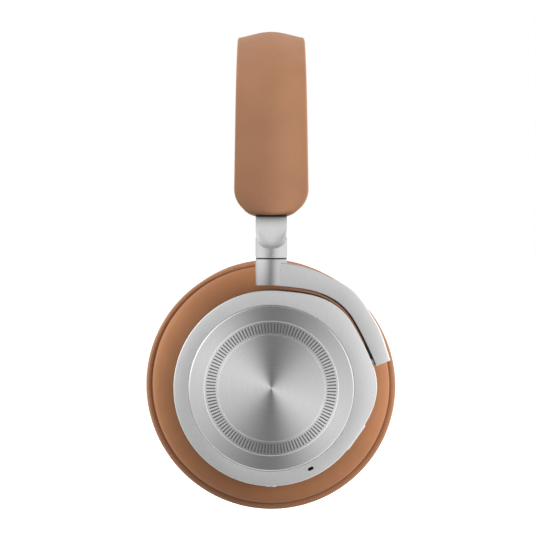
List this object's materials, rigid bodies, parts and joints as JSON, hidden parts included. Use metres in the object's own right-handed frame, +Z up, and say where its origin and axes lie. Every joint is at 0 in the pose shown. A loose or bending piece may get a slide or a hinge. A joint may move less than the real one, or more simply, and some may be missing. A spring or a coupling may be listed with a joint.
{
  "type": "over ear headphones",
  "caption": "Wireless over ear headphones with a leather headband, sliding arms, one-sided curved yokes, and round aluminium cups that swivel, tilt and carry padded leather ear cushions.",
  "frame": {"origin": "middle of the headband cushion's underside, where the crown of the head meets it", "axes": "+Z up, +X to the wearer's back, where the yokes pass behind the cups, and -Y to the wearer's left cup"},
  "size_m": [0.1, 0.1444, 0.1942],
  "materials": {
    "leather": "soft matt leather",
    "pad_leather": "soft matt leather, finely creased",
    "aluminium": "fine bead-blasted and anodised",
    "spun_aluminium": "spun, with a fine circular brush",
    "steel": "plain",
    "black_plastic": "matt",
    "black_mesh": "open woven cloth",
    "circuit": "solder mask",
    "magnet": "plated",
    "film": "thin formed film",
    "battery": "foil wrap"
  },
  "bodies": {
    "headband": {"headband_cover": "leather", "headband_cushion": "leather", "headband_spring": "steel", "crossover_cable": "black_plastic", "slider_rail_left": "steel", "rail_rivet_left": "steel", "end_cap_left": "black_plastic", "slider_rail_right": "steel", "rail_rivet_right": "steel", "end_cap_right": "black_plastic"},
    "arm_left": {"slider_arm_left": "aluminium", "swivel_pin_left": "steel", "swivel_washer_left": "black_plastic"},
    "yoke_left": {"yoke_left": "aluminium", "swivel_bush_left": "black_plastic", "tilt_pin_left": "steel"},
    "cup_left": {"cup_housing_left": "aluminium", "touch_disc_left": "spun_aluminium", "mic_mesh_left": "black_mesh", "inner_shell_left": "black_plastic", "baffle_left": "black_plastic", "driver_basket_left": "black_plastic", "driver_diaphragm_left": "film", "driver_magnet_left": "magnet", "circuit_board_left": "circuit", "cushion_ring_left": "black_plastic", "ear_cushion_left": "pad_leather", "ear_mesh_left": "black_mesh", "tilt_bush_left": "black_plastic", "baffle_screw_left_1": "steel", "baffle_screw_left_2": "steel", "baffle_screw_left_3": "steel", "audio_jack_left": "steel"},
    "arm_right": {"slider_arm_right": "aluminium", "swivel_pin_right": "steel", "swivel_washer_right": "black_plastic"},
    "yoke_right": {"yoke_right": "aluminium", "swivel_bush_right": "black_plastic", "tilt_pin_right": "steel"},
    "cup_right": {"cup_housing_right": "aluminium", "touch_disc_right": "spun_aluminium", "mic_mesh_right": "black_mesh", "inner_shell_right": "black_plastic", "baffle_right": "black_plastic", "driver_basket_right": "black_plastic", "driver_diaphragm_right": "film", "driver_magnet_right": "magnet", "circuit_board_right": "circuit", "cushion_ring_right": "black_plastic", "ear_cushion_right": "pad_leather", "ear_mesh_right": "black_mesh", "tilt_bush_right": "black_plastic", "baffle_screw_right_1": "steel", "baffle_screw_right_2": "steel", "baffle_screw_right_3": "steel", "usb_port_right": "steel", "battery_right": "battery"},
    "mode_button": {"mode_button_left": "aluminium"},
    "assistant_button": {"assistant_button_right": "aluminium"},
    "power_slider": {"power_slider_right": "aluminium"}
  },
  "joints": [
    {"name": "slide_left", "type": "slide", "parent": "headband", "child": "arm_left", "axis": [0, 0, -1], "range_m": [-0.005, 0.022]},
    {"name": "swivel_left", "type": "hinge", "parent": "arm_left", "child": "yoke_left", "pos_m": [0, -0.0645, -0.0808], "axis": [0, 0, -1], "range_deg": [-10, 90]},
    {"name": "tilt_left", "type": "hinge", "parent": "yoke_left", "child": "cup_left", "pos_m": [0.03909, -0.0651, -0.12021], "axis": [0.9627, 0, 0.2706], "range_deg": [-10, 10]},
    {"name": "slide_right", "type": "slide", "parent": "headband", "child": "arm_right", "axis": [0, 0, -1], "range_m": [-0.005, 0.022]},
    {"name": "swivel_right", "type": "hinge", "parent": "arm_right", "child": "yoke_right", "pos_m": [0, 0.0645, -0.0808], "axis": [0, 0, 1], "range_deg": [-10, 90]},
    {"name": "tilt_right", "type": "hinge", "parent": "yoke_right", "child": "cup_right", "pos_m": [0.03909, 0.0651, -0.12021], "axis": [0.9627, 0, 0.2706], "range_deg": [-10, 10]},
    {"name": "mode_press", "type": "slide", "parent": "cup_left", "child": "mode_button", "axis": [-0.8616, 0, 0.5075], "range_m": [0, 0.0006], "stiffness_N_per_m": 500, "springref_m": -0.0003},
    {"name": "assistant_press", "type": "slide", "parent": "cup_right", "child": "assistant_button", "axis": [-0.8616, 0, 0.5075], "range_m": [0, 0.0006], "stiffness_N_per_m": 500, "springref_m": -0.0003},
    {"name": "power_slide", "type": "slide", "parent": "cup_right", "child": "power_slider", "axis": [0.829, 0, 0.5592], "range_m": [-0.0015, 0.0015]}
  ]
}
